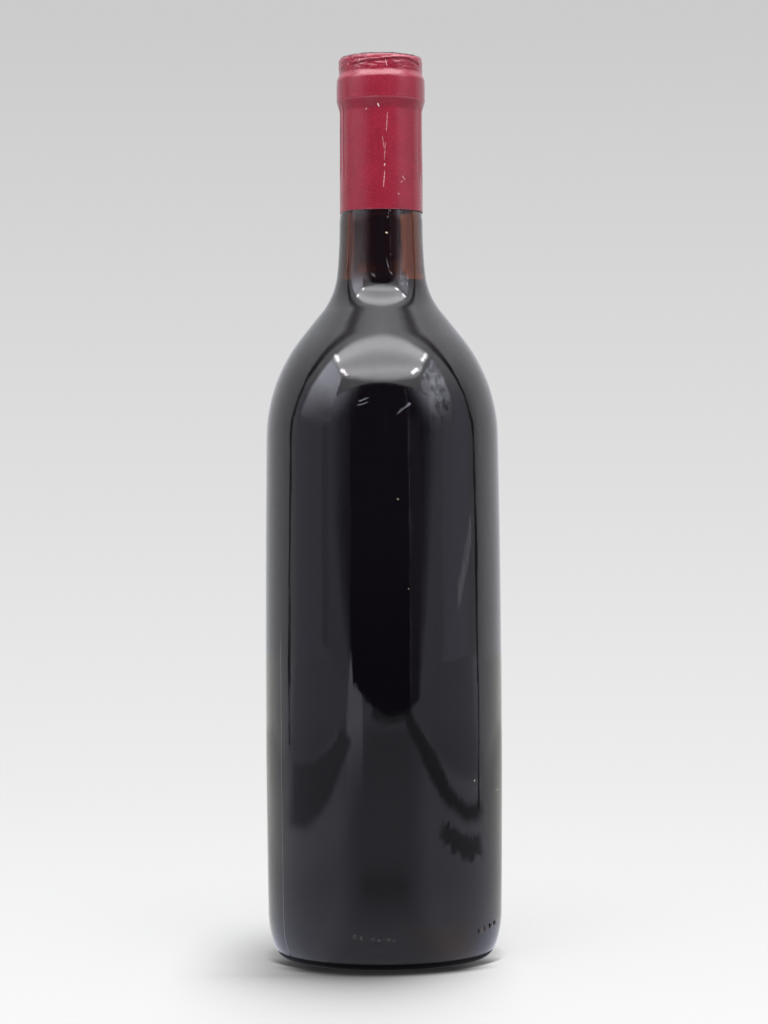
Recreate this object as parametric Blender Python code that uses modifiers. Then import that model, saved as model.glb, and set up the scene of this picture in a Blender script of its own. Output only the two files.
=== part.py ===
"""Bordeaux-shaped wine bottle, full, corked and capped with a shrunk capsule. Metres, +Z up."""

import math

import bpy

# Heights above the surface the bottle stands on
CAPSULE_TOP_Z = 0.2920
CAPSULE_EDGE_Z = 0.2415
RING_TOP_Z = 0.2866
RING_CROWN_HIGH_Z = 0.2834
RING_CROWN_LOW_Z = 0.2776
RING_FOOT_Z = 0.2746
WINE_LEVEL_Z = 0.2198
CORK_LENGTH = 0.0490
BODY_WIDEST_Z = 0.0850
SHOULDER_START_Z = 0.16775
HEEL_TOP_Z = 0.0160

# Radii of the outside
BODY_RADIUS = 0.0383
SHOULDER_START_RADIUS = 0.03743
HEEL_TOP_RADIUS = 0.0379
HEEL_FOOT_RADIUS = 0.0310
NECK_RADIUS = 0.01334
CAPSULE_BAND_RADIUS = 0.01349
CAPSULE_RING_RADIUS = 0.01410
CAPSULE_NECK_RADIUS = 0.01322
CAPSULE_EDGE_RADIUS = 0.01340
CAPSULE_RIM_ROUND = 0.0016

# Shoulder: a convex arc, a straight slope, then two concave arcs into the neck
SHOULDER_ARC = 0.05326
SHOULDER_SLOPE = math.radians(38.5)
NECK_FOOT_ARC = 0.02337
NECK_FOOT_TURN = math.radians(5.73)
NECK_BLEND_ARC = 0.1629
SHOULDER_SLOPE_LENGTH_Z = 0.00847

# Glass, liner and gap thicknesses
FIT_GAP = 0.0003
CAPSULE_SKIN = 0.0003
BODY_WALL = 0.0025
NECK_WALL = 0.0034
BORE_MOUTH_RADIUS = 0.00925
LIP_ROUND = 0.0008
CORK_CHAMFER = 0.0006

# Underside
BEARING_RING_INNER_RADIUS = 0.0295
PUNT_HEIGHT = 0.0160
PUNT_GLASS = 0.0045
TROUGH_RADIUS = 0.0260
TROUGH_Z = 0.0055
WALL_START_Z = 0.0160

TURN_STEPS = 40
MERGE_DISTANCE = 0.00002


def clear_scene():
    for obj in list(bpy.data.objects):
        bpy.data.objects.remove(obj, do_unlink=True)


def make_collection(name):
    collection = bpy.data.collections.new(name)
    bpy.context.scene.collection.children.link(collection)
    return collection


def make_material(name, colour, roughness, metallic=0.0, transmission=0.0, ior=1.5):
    material = bpy.data.materials.new(name)
    material.use_nodes = True
    shader = material.node_tree.nodes["Principled BSDF"]
    shader.inputs["Base Color"].default_value = (*colour, 1.0)
    shader.inputs["Roughness"].default_value = roughness
    shader.inputs["Metallic"].default_value = metallic
    shader.inputs["Transmission Weight"].default_value = transmission
    shader.inputs["IOR"].default_value = ior
    material.diffuse_color = (*colour, 1.0)
    return material


def dark_glass_material():
    return make_material("dark_olive_glass", (0.045, 0.050, 0.018), 0.03, transmission=1.0, ior=1.52)


def red_wine_material():
    return make_material("red_wine", (0.060, 0.004, 0.008), 0.02, transmission=0.6, ior=1.34)


def cork_material():
    return make_material("natural_cork", (0.520, 0.330, 0.180), 0.85)


def crimson_foil_material():
    return make_material("crimson_foil", (0.270, 0.013, 0.030), 0.38, metallic=0.35)


def arc(centre_r, centre_z, radius, start, end, pieces):
    """Points (r, z) of a circular arc; angles run from +R towards +Z."""
    step = (end - start) / pieces
    return [
        (centre_r + radius * math.cos(start + step * i), centre_z + radius * math.sin(start + step * i))
        for i in range(pieces + 1)
    ]


def sagging_side(low, high, low_is_level, pieces):
    """Points up a barrel side that is upright at one end and leans in towards the other."""
    (r0, z0), (r1, z1) = low, high
    points = []
    for i in range(pieces + 1):
        t = i / pieces
        ease = t * t if low_is_level else 1.0 - (1.0 - t) ** 2
        points.append((r0 + (r1 - r0) * ease, z0 + (z1 - z0) * t))
    return points


def shoulder_points(wall_low=0.0, wall_high=0.0):
    """Shoulder from the body up to the neck, each arc moved in by a wall that thickens upwards."""
    slope_top_r = NECK_RADIUS + NECK_BLEND_ARC * (1.0 - math.cos(NECK_FOOT_TURN))
    foot_centre_r = slope_top_r + NECK_FOOT_ARC * math.cos(NECK_FOOT_TURN)
    arc_end_z = SHOULDER_START_Z + SHOULDER_ARC * math.sin(SHOULDER_SLOPE)
    foot_low_z = arc_end_z + SHOULDER_SLOPE_LENGTH_Z
    foot_centre_z = foot_low_z + NECK_FOOT_ARC * math.sin(SHOULDER_SLOPE)
    blend_low_z = foot_centre_z - NECK_FOOT_ARC * math.sin(NECK_FOOT_TURN)
    blend_centre_z = blend_low_z + NECK_BLEND_ARC * math.sin(NECK_FOOT_TURN)
    convex = arc(
        SHOULDER_START_RADIUS - SHOULDER_ARC, SHOULDER_START_Z, SHOULDER_ARC - wall_low,
        0.0, SHOULDER_SLOPE, 9,
    )
    wall_foot = (wall_low + wall_high) / 2.0
    foot = arc(
        foot_centre_r, foot_centre_z, NECK_FOOT_ARC + wall_foot,
        math.pi + SHOULDER_SLOPE, math.pi + NECK_FOOT_TURN, 6,
    )
    blend = arc(
        NECK_RADIUS + NECK_BLEND_ARC, blend_centre_z, NECK_BLEND_ARC + wall_high,
        math.pi + NECK_FOOT_TURN, math.pi, 3,
    )
    return convex + foot + blend[1:]


def outer_glass():
    """Outside of the glass from the heel up to the lip."""
    heel_rise = HEEL_TOP_RADIUS - HEEL_FOOT_RADIUS
    heel = []
    heel_pieces = 7
    for i in range(heel_pieces):
        angle = math.pi / 2.0 * i / heel_pieces
        heel.append((
            HEEL_FOOT_RADIUS + heel_rise * math.sin(angle),
            HEEL_TOP_Z * (1.0 - math.cos(angle)),
        ))
    lower = sagging_side(
        (HEEL_TOP_RADIUS, HEEL_TOP_Z), (BODY_RADIUS, BODY_WIDEST_Z), False, 3,
    )
    upper = sagging_side(
        (BODY_RADIUS, BODY_WIDEST_Z), (SHOULDER_START_RADIUS, SHOULDER_START_Z), True, 4,
    )
    return heel + lower[:-1] + upper[:-1] + shoulder_points()


def finish_points():
    """Glass under the capsule: slimmer neck, string ring, upper band and rounded lip."""
    skin = FIT_GAP + CAPSULE_SKIN
    lip_z = CAPSULE_TOP_Z - skin
    band = CAPSULE_BAND_RADIUS - skin
    ring = CAPSULE_RING_RADIUS - skin
    neck = CAPSULE_NECK_RADIUS - skin
    step = CAPSULE_SKIN
    lip = arc(band - LIP_ROUND * 2.0, lip_z - LIP_ROUND * 2.0, LIP_ROUND * 2.0, 0.0, math.pi / 2.0, 3)
    return [
        (CAPSULE_EDGE_RADIUS - skin, CAPSULE_EDGE_Z + step),
        (neck, RING_FOOT_Z + step),
        (ring, RING_CROWN_LOW_Z + skin),
        (ring, RING_CROWN_HIGH_Z - step),
        (band, RING_TOP_Z - step),
    ] + lip


def bore_points():
    """Inside of the glass from the lip down to the middle of the punt."""
    lip_z = CAPSULE_TOP_Z - FIT_GAP - CAPSULE_SKIN
    mouth = arc(
        BORE_MOUTH_RADIUS + LIP_ROUND, lip_z - LIP_ROUND, LIP_ROUND,
        math.pi / 2.0, math.pi, 2,
    )
    shoulder = shoulder_points(BODY_WALL, NECK_WALL)
    shoulder.reverse()
    side = [
        (BODY_RADIUS - BODY_WALL, BODY_WIDEST_Z + 0.0250),
        (BODY_RADIUS - BODY_WALL, BODY_WIDEST_Z - 0.0250),
    ]
    wall_r = HEEL_TOP_RADIUS - BODY_WALL
    corner = []
    corner_pieces = 5
    for i in range(corner_pieces + 1):
        angle = math.pi / 2.0 * (1.0 - i / corner_pieces)
        corner.append((
            TROUGH_RADIUS + (wall_r - TROUGH_RADIUS) * math.sin(angle),
            WALL_START_Z - (WALL_START_Z - TROUGH_Z) * math.cos(angle),
        ))
    dome_top = PUNT_HEIGHT + PUNT_GLASS
    dome = wave_dome(TROUGH_RADIUS, TROUGH_Z, dome_top, 6)
    return mouth + shoulder + side + corner + dome[1:]


def wave_dome(rim_radius, rim_z, top_z, pieces):
    """Points from the rim of a cosine-shaped dome in to its top."""
    points = []
    for i in range(pieces + 1):
        r = rim_radius * (1.0 - i / pieces)
        lift = (1.0 + math.cos(math.pi * r / rim_radius)) / 2.0
        points.append((r, rim_z + (top_z - rim_z) * lift))
    return points


def inset_profile(points, gap):
    """Moves a downward-running profile towards the axis along its normals."""
    moved = []
    last = len(points) - 1
    for i, (r, z) in enumerate(points):
        r0, z0 = points[max(i - 1, 0)]
        r1, z1 = points[min(i + 1, last)]
        length = math.hypot(r1 - r0, z1 - z0)
        normal_r = (z1 - z0) / length
        normal_z = -(r1 - r0) / length
        on_axis = r < MERGE_DISTANCE
        moved.append((0.0 if on_axis else r + normal_r * gap, z + normal_z * gap))
    return moved


def turned(name, profile, collection, material):
    """A profile in the XZ plane turned about Z by a Screw modifier."""
    mesh = bpy.data.meshes.new(name)
    vertices = [(r, 0.0, z) for r, z in profile]
    edges = [(i, i + 1) for i in range(len(vertices) - 1)]
    mesh.from_pydata(vertices, edges, [])
    obj = bpy.data.objects.new(name, mesh)
    collection.objects.link(obj)
    mesh.materials.append(material)
    screw = obj.modifiers.new("turn", "SCREW")
    screw.axis = "Z"
    screw.angle = math.tau
    screw.steps = TURN_STEPS
    screw.render_steps = TURN_STEPS
    screw.use_merge_vertices = True
    screw.merge_threshold = MERGE_DISTANCE
    screw.use_normal_calculate = False
    screw.use_smooth_shade = True
    return obj


def build_glass(collection):
    inside = bore_points()
    inside.reverse()
    outside = finish_points()
    outside.reverse()
    body = outer_glass()
    body.reverse()
    underside = wave_dome(BEARING_RING_INNER_RADIUS, 0.0, PUNT_HEIGHT, 7)
    profile = inside + outside + body + underside
    return turned("bottle_glass", profile, collection, dark_glass_material())


def wine_profile():
    """Inside of the glass below the filling level, one gap clear of it."""
    wall = [point for point in bore_points() if point[1] < CAPSULE_EDGE_Z]
    liquid = inset_profile(wall, FIT_GAP)
    below = [point for point in liquid if point[1] < WINE_LEVEL_Z]
    above = [point for point in liquid if point[1] >= WINE_LEVEL_Z][-1]
    first = below[0]
    share = (WINE_LEVEL_Z - first[1]) / (above[1] - first[1])
    edge_r = first[0] + (above[0] - first[0]) * share
    return [(0.0, WINE_LEVEL_Z), (edge_r, WINE_LEVEL_Z)] + below


def build_wine(collection):
    return turned("wine", wine_profile(), collection, red_wine_material())


def build_cork(collection):
    top = CAPSULE_TOP_Z - CAPSULE_SKIN - FIT_GAP * 2.0 - LIP_ROUND
    bottom = top - CORK_LENGTH
    radius = BORE_MOUTH_RADIUS - FIT_GAP
    profile = [
        (0.0, top),
        (radius - CORK_CHAMFER, top),
        (radius, top - CORK_CHAMFER),
        (radius, bottom + CORK_CHAMFER),
        (radius - CORK_CHAMFER, bottom),
        (0.0, bottom),
    ]
    return turned("cork", profile, collection, cork_material())


def capsule_side(inset):
    """Capsule outline from the flat top down to the cut edge, moved in by the skin for the inside."""
    top = CAPSULE_TOP_Z - inset
    band = CAPSULE_BAND_RADIUS - inset
    ring = CAPSULE_RING_RADIUS - inset
    rim_round = CAPSULE_RIM_ROUND - inset
    centre_r = CAPSULE_BAND_RADIUS - CAPSULE_RIM_ROUND
    centre_z = CAPSULE_TOP_Z - CAPSULE_RIM_ROUND
    rim = arc(centre_r, centre_z, rim_round, math.pi / 2.0, 0.0, 4)
    return [(0.0, top)] + rim + [
        (band, RING_TOP_Z),
        ((band + ring) / 2.0 + 0.0001, (RING_TOP_Z + RING_CROWN_HIGH_Z) / 2.0),
        (ring, RING_CROWN_HIGH_Z),
        (ring, RING_CROWN_LOW_Z),
        (ring - 0.0003, RING_CROWN_LOW_Z - 0.0009),
        (CAPSULE_NECK_RADIUS - inset + 0.0002, RING_FOOT_Z + 0.0006),
        (CAPSULE_NECK_RADIUS - inset, RING_FOOT_Z - 0.0006),
        (CAPSULE_EDGE_RADIUS - inset, CAPSULE_EDGE_Z),
    ]


def build_capsule(collection):
    inside = capsule_side(CAPSULE_SKIN)
    inside.reverse()
    profile = capsule_side(0.0) + inside
    return turned("capsule", profile, collection, crimson_foil_material())


def main():
    clear_scene()
    collection = make_collection("wine_bottle")
    build_glass(collection)
    build_wine(collection)
    build_cork(collection)
    build_capsule(collection)


main()
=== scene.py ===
import math

import bpy
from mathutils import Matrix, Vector, noise


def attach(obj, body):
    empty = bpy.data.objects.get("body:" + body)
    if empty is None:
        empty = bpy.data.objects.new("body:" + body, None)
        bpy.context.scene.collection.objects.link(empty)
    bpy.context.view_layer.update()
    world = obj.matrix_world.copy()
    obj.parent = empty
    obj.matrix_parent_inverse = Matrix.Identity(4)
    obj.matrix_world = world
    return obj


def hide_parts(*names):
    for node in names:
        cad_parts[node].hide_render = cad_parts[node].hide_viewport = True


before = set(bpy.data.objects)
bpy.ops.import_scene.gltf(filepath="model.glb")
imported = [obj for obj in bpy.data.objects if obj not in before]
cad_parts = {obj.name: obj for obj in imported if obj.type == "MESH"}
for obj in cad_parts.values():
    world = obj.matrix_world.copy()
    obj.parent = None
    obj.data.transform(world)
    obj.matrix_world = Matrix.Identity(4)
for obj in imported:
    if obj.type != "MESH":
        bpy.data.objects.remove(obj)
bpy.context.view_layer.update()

tau = math.tau


def arcPoints(centreR, centreZ, radius, start, end, count):
    turn = (end - start) / count
    return [
        (centreR + radius * math.cos(start + turn * i), centreZ + radius * math.sin(start + turn * i))
        for i in range(count + 1)
    ]


def quarterPoints(innerR, outerR, highZ, lowZ, count):
    # a quarter of an ellipse, from the side down and inwards
    points = []
    for i in range(count + 1):
        a = math.pi / 2.0 * (1.0 - i / count)
        points.append((innerR + (outerR - innerR) * math.sin(a), highZ - (highZ - lowZ) * math.cos(a)))
    return points


def stepPoints(startZ, endZ, count, radiusAt):
    # a run of points whose radius follows its share of the way
    return [(radiusAt(i / count), startZ + (endZ - startZ) * i / count) for i in range(1, count + 1)]


def easePoints(low, high, levelAtLow, count):
    # a long barrel side, upright at one of its ends
    points = []
    for i in range(count + 1):
        t = i / count
        ease = t * t if levelAtLow else 1.0 - (1.0 - t) ** 2
        points.append((low[0] + (high[0] - low[0]) * ease, low[1] + (high[1] - low[1]) * t))
    return points


def smoothStep(low, high, x):
    t = min(1.0, max(0.0, (x - low) / (high - low)))
    return t * t * (3.0 - 2.0 * t)


def bell(x, centre, width):
    return math.exp(-((x - centre) / width) ** 2)


def frontAngle(co):
    # degrees round the bottle from the side that faces the camera, positive to its right
    return math.degrees(math.atan2(co.x, -co.y))


def deselectAll():
    if bpy.context.mode != "OBJECT":
        bpy.ops.object.mode_set(mode="OBJECT")
    bpy.ops.object.select_all(action="DESELECT")


def turnPiece(name, points, columns):
    # one vertex is drawn along the profile by extruding, then spun round Z
    deselectAll()
    bpy.ops.mesh.primitive_plane_add(size=0.002, location=(0.0, 0.0, 0.0))
    piece = bpy.context.object
    piece.name = name
    piece.data.name = name
    bpy.ops.object.mode_set(mode="EDIT")
    bpy.ops.mesh.select_mode(type="VERT")
    bpy.ops.mesh.select_all(action="SELECT")
    bpy.ops.mesh.merge(type="CENTER")
    bpy.ops.transform.translate(value=(points[0][0], 0.0, points[0][1]))
    for before, after in zip(points, points[1:]):
        move = (after[0] - before[0], 0.0, after[1] - before[1])
        bpy.ops.mesh.extrude_vertices_move(TRANSFORM_OT_translate={"value": move})
    bpy.ops.mesh.select_all(action="SELECT")
    bpy.ops.mesh.spin(steps=columns, angle=tau, center=(0.0, 0.0, 0.0), axis=(0.0, 0.0, 1.0))
    bpy.ops.mesh.select_all(action="SELECT")
    bpy.ops.mesh.remove_doubles(threshold=0.000002)
    bpy.ops.mesh.normals_make_consistent(inside=False)
    bpy.ops.object.mode_set(mode="OBJECT")
    bpy.ops.object.shade_smooth_by_angle(angle=math.radians(40.0))
    return piece


def applyModifiers(piece):
    deselectAll()
    piece.select_set(True)
    bpy.context.view_layer.objects.active = piece
    for modifier in list(piece.modifiers):
        bpy.ops.object.modifier_apply(modifier=modifier.name)


def setMaterial(piece, material):
    piece.data.materials.clear()
    piece.data.materials.append(material)


def joinPieces(parts, name, material):
    for part in parts:
        part.select_set(True)
    bpy.context.view_layer.objects.active = parts[0]
    bpy.ops.object.join()
    piece = bpy.context.object
    piece.name = name
    bpy.ops.object.transform_apply(location=True, rotation=True, scale=True)
    bpy.ops.object.shade_smooth()
    setMaterial(piece, material)
    return piece


def addNode(tree, kind, values=None, **settings):
    made = tree.nodes.new(kind)
    count = len(tree.nodes)
    made.location = (240 * (count // 5), -260 * (count % 5))
    for key, value in settings.items():
        setattr(made, key, value)
    for key, value in (values or {}).items():
        made.inputs[key].default_value = value
    return made


def treeOf(*terms):
    # a socket knows the node tree that it is in
    return next(term.id_data for term in terms if isinstance(term, bpy.types.NodeSocket))


def feed(value, socket):
    # sets a socket's value, or links another socket to it
    if isinstance(value, (int, float)):
        socket.default_value = value
    elif isinstance(value, tuple):
        socket.default_value = (*value, 1.0) if len(socket.default_value) == 4 else value
    else:
        socket.id_data.links.new(value, socket)


def calc(operation, *terms):
    made = addNode(treeOf(*terms), "ShaderNodeMath", operation=operation)
    for socket, term in zip(made.inputs, terms):
        feed(term, socket)
    return made.outputs[0]


def ramp(value, fromLow, fromHigh, toLow=0.0, toHigh=1.0):
    made = addNode(treeOf(value), "ShaderNodeMapRange", {
        "From Min": fromLow, "From Max": fromHigh, "To Min": toLow, "To Max": toHigh,
    }, interpolation_type="SMOOTHSTEP")
    feed(value, made.inputs["Value"])
    return made.outputs["Result"]


def fall(value, fromLow, fromHigh):
    return ramp(value, fromLow, fromHigh, 1.0, 0.0)


def chain(operation, first, *others):
    for other in others:
        first = calc(operation, first, other)
    return first


def times(*terms):
    return chain("MULTIPLY", *terms)


def plus(*terms):
    return chain("ADD", *terms)


def minus(first, second):
    return calc("SUBTRACT", first, second)


def restOf(value):
    return calc("SUBTRACT", 1.0, value)


def over(first, second):
    return calc("DIVIDE", first, second)


def scaleAdd(value, factor, offset):
    return calc("MULTIPLY_ADD", value, factor, offset)


def absolute(value):
    return calc("ABSOLUTE", value)


def window(value, low, high, soft):
    # one between low and high, nothing outside them
    return times(ramp(value, low - soft, low + soft), fall(value, high - soft, high + soft))


def hump(value, centre, width):
    away = over(minus(value, centre), width)
    return calc("EXPONENT", times(away, away, -1.0))


def greyRamp(value, stops):
    # a colour ramp through greys, from (position, level) pairs
    made = addNode(treeOf(value), "ShaderNodeValToRGB")
    feed(value, made.inputs["Fac"])
    steps = made.color_ramp.elements
    for step, (position, level) in zip((steps[0], steps[1]), (stops[0], stops[-1])):
        step.position, step.color = position, (level, level, level, 1.0)
    for position, level in stops[1:-1]:
        steps.new(position).color = (level, level, level, 1.0)
    return made.outputs["Color"]


def blend(factor, first, second, mode="MIX"):
    made = addNode(treeOf(factor, first, second), "ShaderNodeMix", data_type="RGBA", blend_type=mode)
    for slot, value in ((0, factor), (6, first), (7, second)):
        feed(value, made.inputs[slot])
    return made.outputs[2]


def blendValue(factor, first, second):
    made = addNode(treeOf(factor), "ShaderNodeMix", data_type="FLOAT")
    for slot, value in ((0, factor), (2, first), (3, second)):
        feed(value, made.inputs[slot])
    return made.outputs[0]


def objectAxes(tree):
    coords = addNode(tree, "ShaderNodeTexCoord")
    split = addNode(tree, "ShaderNodeSeparateXYZ")
    feed(coords.outputs["Object"], split.inputs["Vector"])
    return coords.outputs["Object"], split.outputs["X"], split.outputs["Y"], split.outputs["Z"]


def lengthOf(x, y):
    return calc("SQRT", plus(times(x, x), times(y, y)))


def stretch(vector, scale):
    made = addNode(treeOf(vector), "ShaderNodeMapping", {"Scale": scale})
    feed(vector, made.inputs["Vector"])
    return made.outputs["Vector"]


def noiseField(vector, scale, detail=3.0, roughness=0.5):
    made = addNode(treeOf(vector), "ShaderNodeTexNoise", {
        "Scale": scale, "Detail": detail, "Roughness": roughness,
    })
    feed(vector, made.inputs["Vector"])
    return made.outputs["Fac"]


def bareMaterial(name):
    material = bpy.data.materials.new(name)
    material.use_nodes = True
    tree = material.node_tree
    tree.nodes.clear()
    return material, tree, addNode(tree, "ShaderNodeOutputMaterial")


def newMaterial(name, values=None):
    material, tree, output = bareMaterial(name)
    shader = addNode(tree, "ShaderNodeBsdfPrincipled", values)
    feed(shader.outputs["BSDF"], output.inputs["Surface"])
    return material, tree, shader, output


def dress(shader, colour, rough, normal=None):
    feed(colour, shader.inputs["Base Color"])
    feed(rough, shader.inputs["Roughness"])
    if normal is not None:
        feed(normal, shader.inputs["Normal"])


def addAbsorption(output, look):
    absorb = addNode(output.id_data, "ShaderNodeVolumeAbsorption", {
        "Color": (*look["absorbColour"], 1.0), "Density": look["absorbDensity"],
    })
    feed(absorb.outputs["Volume"], output.inputs["Volume"])


def mixShaders(factor, first, second):
    made = addNode(treeOf(first), "ShaderNodeMixShader")
    for slot, source in enumerate((factor, first, second)):
        feed(source, made.inputs[slot])
    return made.outputs["Shader"]


def addGlow(output, mask, colour, strength=1.0):
    # light where the mask is one, nothing at all elsewhere
    tree = output.id_data
    glow = addNode(tree, "ShaderNodeEmission")
    feed(colour, glow.inputs["Color"])
    feed(strength, glow.inputs["Strength"])
    clear = addNode(tree, "ShaderNodeBsdfTransparent")
    shown = mixShaders(mask, clear.outputs["BSDF"], glow.outputs["Emission"])
    feed(shown, output.inputs["Surface"])


def addBump(height, distance, strength=1.0, normal=None):
    made = addNode(treeOf(height), "ShaderNodeBump", {"Strength": strength, "Distance": distance})
    feed(height, made.inputs["Height"])
    if normal is not None:
        feed(normal, made.inputs["Normal"])
    return made.outputs["Normal"]


def newGroup(name, entries, leaves):
    group = bpy.data.node_groups.new(name, "ShaderNodeTree")
    for label, value in entries:
        kind = "NodeSocketVector" if value is None else "NodeSocketFloat"
        socket = group.interface.new_socket(label, in_out="INPUT", socket_type=kind)
        if value is not None:
            socket.default_value = value
    for label in leaves:
        group.interface.new_socket(label, in_out="OUTPUT", socket_type="NodeSocketFloat")
    return group, addNode(group, "NodeGroupInput").outputs, addNode(group, "NodeGroupOutput").inputs


def makeSurfaceGroup():
    # slow waves and fine grain of a surface, as one height and one mask
    group, entry, leave = newGroup(
        "surfaceWaves",
        (("Vector", None), ("Wave Scale", 40.0), ("Grain Scale", 900.0), ("Grain Share", 0.1)),
        ("Height", "Mask"),
    )
    waves = addNode(group, "ShaderNodeTexNoise", {"Detail": 2.0, "Roughness": 0.45})
    grain = addNode(group, "ShaderNodeTexNoise", {"Detail": 4.0, "Roughness": 0.6})
    for made, label in ((waves, "Wave Scale"), (grain, "Grain Scale")):
        feed(entry["Vector"], made.inputs["Vector"])
        feed(entry[label], made.inputs["Scale"])
    scaled = times(grain.outputs["Fac"], entry["Grain Share"])
    feed(plus(waves.outputs["Fac"], scaled), leave["Height"])
    feed(grain.outputs["Fac"], leave["Mask"])
    return group


def makeMarkGroup():
    # one short straight mark in a plane; its tilt is measured from the second axis
    group, entry, leave = newGroup(
        "thinMark",
        (("X", 0.0), ("Z", 0.0), ("Centre X", 0.0), ("Centre Z", 0.0),
         ("Half Length", 1.0), ("Half Width", 0.1), ("Tilt", 0.0)),
        ("Mask",),
    )
    dx = minus(entry["X"], entry["Centre X"])
    dz = minus(entry["Z"], entry["Centre Z"])
    sine = calc("SINE", entry["Tilt"])
    cosine = calc("COSINE", entry["Tilt"])
    along = plus(times(dx, sine), times(dz, cosine))
    across = minus(times(dx, cosine), times(dz, sine))
    masks = []
    for value, label in ((along, "Half Length"), (across, "Half Width")):
        share = over(absolute(value), entry[label])
        masks.append(fall(share, 0.55, 1.0))
    feed(calc("MULTIPLY", *masks), leave["Mask"])
    return group


surfaceWaves = makeSurfaceGroup()
thinMark = makeMarkGroup()


def useSurface(vector, waveScale, grainScale, grainShare):
    made = addNode(treeOf(vector), "ShaderNodeGroup", node_tree=surfaceWaves)
    made.inputs["Wave Scale"].default_value = waveScale
    made.inputs["Grain Scale"].default_value = grainScale
    made.inputs["Grain Share"].default_value = grainShare
    feed(vector, made.inputs["Vector"])
    return made.outputs["Height"], made.outputs["Mask"]


def useMarks(x, z, marks):
    # the sum of several marks: (centre x, centre z, half length, half width, tilt in degrees, strength)
    total = None
    for centreX, centreZ, halfLength, halfWidth, tilt, strength in marks:
        made = addNode(treeOf(x), "ShaderNodeGroup", node_tree=thinMark)
        for label, value in (
            ("Centre X", centreX), ("Centre Z", centreZ), ("Half Length", halfLength),
            ("Half Width", halfWidth), ("Tilt", math.radians(tilt)),
        ):
            made.inputs[label].default_value = value
        feed(x, made.inputs["X"])
        feed(z, made.inputs["Z"])
        one = times(made.outputs["Mask"], strength)
        total = one if total is None else plus(total, one)
    return total


# the bottle's glass
glassForm = {
    "bodyRadius": 0.03843, "bodyWidestZ": 0.085, "evenWall": 0.025,
    "shoulderRadius": 0.03780, "shoulderZ": 0.16775, "shoulderArc": 0.05326,
    "shoulderSlope": math.radians(38.5), "slopeRise": 0.00847,
    "neckFootArc": 0.02337, "neckFootTurn": math.radians(5.73), "neckBlendArc": 0.1629,
    "neckRadius": 0.01360,
    "heelTopRadius": 0.0380, "heelTopZ": 0.015, "heelFootRadius": 0.0325,
    "bearingInner": 0.0295, "puntHeight": 0.016, "puntGlass": 0.0045,
    "bodyWall": 0.0025, "neckWall": 0.0034, "boreRadius": 0.00925, "lipRound": 0.0008,
    "bore": ((0.00928, 0.2800), (0.00935, 0.2650), (0.00950, 0.2500), (0.00976, 0.2430)),
    "troughRadius": 0.0260, "troughZ": 0.0055, "wallStartZ": 0.0160,
    "lipZ": 0.2914, "outerLipRound": 0.0016, "ringRadius": 0.01385, "bandRadius": 0.01325,
    "hiddenNeckRadius": 0.01302, "capsuleEdgeZ": 0.2415,
    "columns": 160,
}


def shoulderPoints(wallLow, wallHigh):
    f = glassForm
    slopeTopR = f["neckRadius"] + f["neckBlendArc"] * (1.0 - math.cos(f["neckFootTurn"]))
    footCentreR = slopeTopR + f["neckFootArc"] * math.cos(f["neckFootTurn"])
    arcEndZ = f["shoulderZ"] + f["shoulderArc"] * math.sin(f["shoulderSlope"])
    footCentreZ = arcEndZ + f["slopeRise"] + f["neckFootArc"] * math.sin(f["shoulderSlope"])
    blendLowZ = footCentreZ - f["neckFootArc"] * math.sin(f["neckFootTurn"])
    blendCentreZ = blendLowZ + f["neckBlendArc"] * math.sin(f["neckFootTurn"])
    wallFoot = (wallLow + wallHigh) / 2.0
    convex = arcPoints(
        f["shoulderRadius"] - f["shoulderArc"], f["shoulderZ"], f["shoulderArc"] - wallLow,
        0.0, f["shoulderSlope"], 26,
    )
    foot = arcPoints(
        footCentreR, footCentreZ, f["neckFootArc"] + wallFoot,
        math.pi + f["shoulderSlope"], math.pi + f["neckFootTurn"], 16,
    )
    upper = arcPoints(
        f["neckRadius"] + f["neckBlendArc"], blendCentreZ, f["neckBlendArc"] + wallHigh,
        math.pi + f["neckFootTurn"], math.pi, 8,
    )
    return convex + foot + upper[1:]


def domePoints(rimRadius, rimZ, topZ, count):
    points = []
    for i in range(count + 1):
        r = rimRadius * (1.0 - i / count)
        lift = (1.0 + math.cos(math.pi * r / rimRadius)) / 2.0
        points.append((r, rimZ + (topZ - rimZ) * lift))
    return points


def innerGlassPoints():
    # from the lip down the bore and the wall to the middle of the punt
    f = glassForm
    mouth = arcPoints(
        f["boreRadius"] + f["lipRound"], f["lipZ"] - f["lipRound"], f["lipRound"],
        math.pi / 2.0, math.pi, 5,
    )
    bore = list(f["bore"])
    shoulder = shoulderPoints(f["bodyWall"], f["neckWall"])[::-1]
    innerR = f["bodyRadius"] - f["bodyWall"]
    side = [(innerR, f["bodyWidestZ"] + f["evenWall"]), (innerR, f["bodyWidestZ"] - f["evenWall"])]
    wallR = f["heelTopRadius"] - f["bodyWall"]
    corner = quarterPoints(f["troughRadius"], wallR, f["wallStartZ"], f["troughZ"], 14)
    dome = domePoints(f["troughRadius"], f["troughZ"], f["puntHeight"] + f["puntGlass"], 18)
    return mouth + bore + shoulder + side + corner + dome[1:]


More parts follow.
